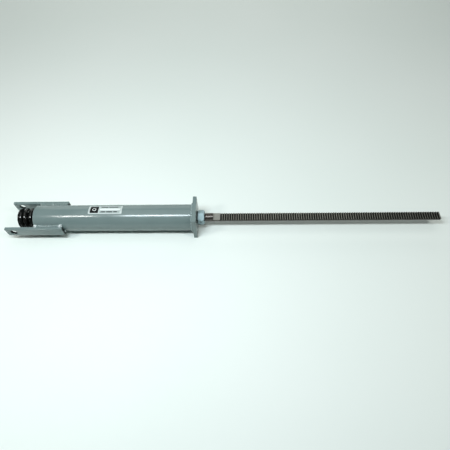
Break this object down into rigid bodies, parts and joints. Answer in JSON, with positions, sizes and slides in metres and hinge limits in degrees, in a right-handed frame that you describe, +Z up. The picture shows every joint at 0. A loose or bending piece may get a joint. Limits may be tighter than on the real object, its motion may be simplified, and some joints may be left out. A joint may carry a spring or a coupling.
{
  "type": "spring cylinder",
  "caption": "Spring-loaded pull cylinder: tube with welded clevis ears, coil spring inside, square end flange and a long round rod with rack teeth.",
  "frame": {"origin": "under the middle of the object's length, on the surface that the flange's lower edge stands on", "axes": "+X along the rod from the clevis ears towards the toothed end, +Y across from the near ear to the far ear, +Z up, the side that the teeth face"},
  "size_m": [1.458, 0.1142, 0.102],
  "materials": {
    "grey_paint": "satin grey enamel",
    "painted_weld": "satin grey enamel over rippled weld metal",
    "dark_nylon": "matt",
    "zinc_plate": "bright zinc plate",
    "label_film": "silver film",
    "black_enamel": "gloss black enamel",
    "bar_steel": "oiled machined steel",
    "dark_steel": "black oxide"
  },
  "bodies": {
    "barrel": {"barrel_tube": "grey_paint", "clevis_plate_near": "grey_paint", "clevis_plate_far": "grey_paint", "clevis_weld_near_upper": "painted_weld", "clevis_weld_near_lower": "painted_weld", "clevis_weld_far_upper": "painted_weld", "clevis_weld_far_lower": "painted_weld", "flange_plate": "grey_paint", "flange_weld": "painted_weld", "rod_guide_bush": "dark_nylon", "spring_seat_ring": "zinc_plate", "name_label": "label_film", "coil_spring": "black_enamel"},
    "spring_carrier": {"spring_cup": "black_enamel"},
    "rod": {"rod_shank": "bar_steel", "rack_bar": "bar_steel", "stop_nut": "zinc_plate", "stop_nut_pin": "dark_steel", "cup_thrust_washer": "zinc_plate", "rod_end_nut": "zinc_plate", "cotter_pin": "zinc_plate"}
  },
  "joints": [
    {"name": "rod_slide", "type": "slide", "parent": "barrel", "child": "spring_carrier", "axis": [1, 0, 0], "range_m": [0, 0.15], "stiffness_N_per_m": 48000, "deforming": ["coil_spring"]},
    {"name": "rod_turn", "type": "hinge", "parent": "spring_carrier", "child": "rod", "pos_m": [0, 0, 0.051], "axis": [1, 0, 0], "continuous": true}
  ]
}
